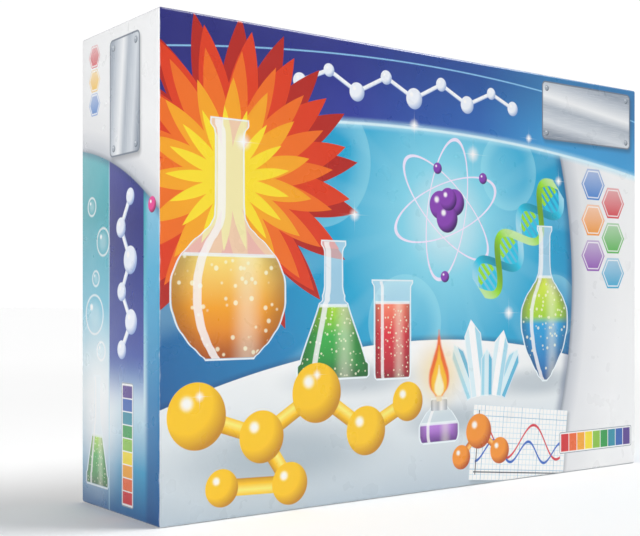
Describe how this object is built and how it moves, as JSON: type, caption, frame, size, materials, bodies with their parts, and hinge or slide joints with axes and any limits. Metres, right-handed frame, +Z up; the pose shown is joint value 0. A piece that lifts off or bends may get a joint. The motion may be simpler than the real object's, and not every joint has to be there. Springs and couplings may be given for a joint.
{
  "type": "chemistry set case",
  "caption": "Rigid two-piece box with a deep lift-off lid, standing on its long edge, with a formed tray of laboratory ware inside.",
  "frame": {"origin": "middle of the footprint of the case standing on its long edge, on the floor", "axes": "+X along the case's length, +Y from the printed front to the back, +Z up"},
  "size_m": [0.453, 0.11, 0.315],
  "materials": {
    "greyboard": "matte",
    "printed_wrap": "gloss",
    "plain_wrap": "satin",
    "formed_sheet": "satin",
    "rack_plastic": "satin",
    "clear_plastic": "gloss",
    "foot_plastic": "satin",
    "funnel_plastic": "satin",
    "bulb_rubber": "satin",
    "spoon_plastic": "satin",
    "jar_plastic": "satin",
    "powder_red": "matte",
    "powder_green": "matte",
    "powder_blue": "matte",
    "cap_red": "satin",
    "cap_green": "satin",
    "cap_blue": "satin",
    "printed_card": "satin",
    "book_paper": "matte",
    "printed_cover": "satin"
  },
  "bodies": {
    "base": {"base_board": "greyboard", "base_wrap": "plain_wrap"},
    "lid": {"lid_board": "greyboard", "lid_wrap": "printed_wrap"},
    "tray": {"insert_tray": "formed_sheet"},
    "booklet": {"book_cover": "printed_cover", "book_pages": "book_paper"},
    "rack": {"test_tube_rack": "rack_plastic"},
    "tube_1": {"test_tube_1": "clear_plastic"},
    "tube_2": {"test_tube_2": "clear_plastic"},
    "tube_3": {"test_tube_3": "clear_plastic"},
    "tube_4": {"test_tube_4": "clear_plastic"},
    "cylinder": {"measuring_cylinder": "clear_plastic", "cylinder_foot": "foot_plastic"},
    "funnel": {"funnel": "funnel_plastic"},
    "dish": {"petri_dish": "clear_plastic"},
    "dish_lid": {"petri_lid": "clear_plastic"},
    "dropper": {"dropper_barrel": "clear_plastic", "dropper_bulb": "bulb_rubber"},
    "spoon": {"measuring_spoon": "spoon_plastic"},
    "card": {"colour_card": "printed_card"},
    "jar_1": {"reagent_jar_1": "jar_plastic", "reagent_1": "powder_red"},
    "cap_1": {"jar_cap_1": "cap_red"},
    "jar_2": {"reagent_jar_2": "jar_plastic", "reagent_2": "powder_green"},
    "cap_2": {"jar_cap_2": "cap_green"},
    "jar_3": {"reagent_jar_3": "jar_plastic", "reagent_3": "powder_blue"},
    "cap_3": {"jar_cap_3": "cap_blue"}
  },
  "joints": [
    {"name": "lid_lift", "type": "slide", "parent": "base", "child": "lid", "axis": [0, -1, 0], "range_m": [0, 0.36]},
    {"name": "tray_lift", "type": "slide", "parent": "base", "child": "tray", "axis": [0, -1, 0], "range_m": [0, 0.108]},
    {"name": "booklet_lift", "type": "slide", "parent": "tray", "child": "booklet", "axis": [0, -1, 0], "range_m": [0, 0.144]},
    {"name": "rack_lift", "type": "slide", "parent": "tray", "child": "rack", "axis": [0, -1, 0], "range_m": [0, 0.0936]},
    {"name": "tube_1_lift", "type": "slide", "parent": "tray", "child": "tube_1", "axis": [0, -1, 0], "range_m": [0, 0.0936]},
    {"name": "tube_2_lift", "type": "slide", "parent": "tray", "child": "tube_2", "axis": [0, -1, 0], "range_m": [0, 0.0936]},
    {"name": "tube_3_lift", "type": "slide", "parent": "tray", "child": "tube_3", "axis": [0, -1, 0], "range_m": [0, 0.0936]},
    {"name": "tube_4_lift", "type": "slide", "parent": "tray", "child": "tube_4", "axis": [0, -1, 0], "range_m": [0, 0.0936]},
    {"name": "cylinder_lift", "type": "slide", "parent": "tray", "child": "cylinder", "axis": [0, -1, 0], "range_m": [0, 0.0936]},
    {"name": "funnel_lift", "type": "slide", "parent": "tray", "child": "funnel", "axis": [0, -1, 0], "range_m": [0, 0.0936]},
    {"name": "dish_lift", "type": "slide", "parent": "tray", "child": "dish", "axis": [0, -1, 0], "range_m": [0, 0.0936]},
    {"name": "dropper_lift", "type": "slide", "parent": "tray", "child": "dropper", "axis": [0, -1, 0], "range_m": [0, 0.0936]},
    {"name": "spoon_lift", "type": "slide", "parent": "tray", "child": "spoon", "axis": [0, -1, 0], "range_m": [0, 0.0936]},
    {"name": "card_lift", "type": "slide", "parent": "tray", "child": "card", "axis": [0, -1, 0], "range_m": [0, 0.0936]},
    {"name": "jar_1_lift", "type": "slide", "parent": "tray", "child": "jar_1", "axis": [0, -1, 0], "range_m": [0, 0.0936]},
    {"name": "jar_2_lift", "type": "slide", "parent": "tray", "child": "jar_2", "axis": [0, -1, 0], "range_m": [0, 0.0936]},
    {"name": "jar_3_lift", "type": "slide", "parent": "tray", "child": "jar_3", "axis": [0, -1, 0], "range_m": [0, 0.0936]},
    {"name": "dish_lid_lift", "type": "slide", "parent": "dish", "child": "dish_lid", "axis": [0, -1, 0], "range_m": [0, 0.0216]},
    {"name": "cap_1_lift", "type": "slide", "parent": "jar_1", "child": "cap_1", "axis": [0, -1, 0], "range_m": [0, 0.0288]},
    {"name": "cap_2_lift", "type": "slide", "parent": "jar_2", "child": "cap_2", "axis": [0, -1, 0], "range_m": [0, 0.0288]},
    {"name": "cap_3_lift", "type": "slide", "parent": "jar_3", "child": "cap_3", "axis": [0, -1, 0], "range_m": [0, 0.0288]}
  ],
  "couplings": [
    {"joint": "tray_lift", "follows": "lid_lift", "ratio": 0.3},
    {"joint": "booklet_lift", "follows": "lid_lift", "ratio": 0.4},
    {"joint": "rack_lift", "follows": "lid_lift", "ratio": 0.26},
    {"joint": "tube_1_lift", "follows": "lid_lift", "ratio": 0.26},
    {"joint": "tube_2_lift", "follows": "lid_lift", "ratio": 0.26},
    {"joint": "tube_3_lift", "follows": "lid_lift", "ratio": 0.26},
    {"joint": "tube_4_lift", "follows": "lid_lift", "ratio": 0.26},
    {"joint": "cylinder_lift", "follows": "lid_lift", "ratio": 0.26},
    {"joint": "funnel_lift", "follows": "lid_lift", "ratio": 0.26},
    {"joint": "dish_lift", "follows": "lid_lift", "ratio": 0.26},
    {"joint": "dropper_lift", "follows": "lid_lift", "ratio": 0.26},
    {"joint": "spoon_lift", "follows": "lid_lift", "ratio": 0.26},
    {"joint": "card_lift", "follows": "lid_lift", "ratio": 0.26},
    {"joint": "jar_1_lift", "follows": "lid_lift", "ratio": 0.26},
    {"joint": "jar_2_lift", "follows": "lid_lift", "ratio": 0.26},
    {"joint": "jar_3_lift", "follows": "lid_lift", "ratio": 0.26},
    {"joint": "dish_lid_lift", "follows": "lid_lift", "ratio": 0.06},
    {"joint": "cap_1_lift", "follows": "lid_lift", "ratio": 0.08},
    {"joint": "cap_2_lift", "follows": "lid_lift", "ratio": 0.08},
    {"joint": "cap_3_lift", "follows": "lid_lift", "ratio": 0.08}
  ]
}
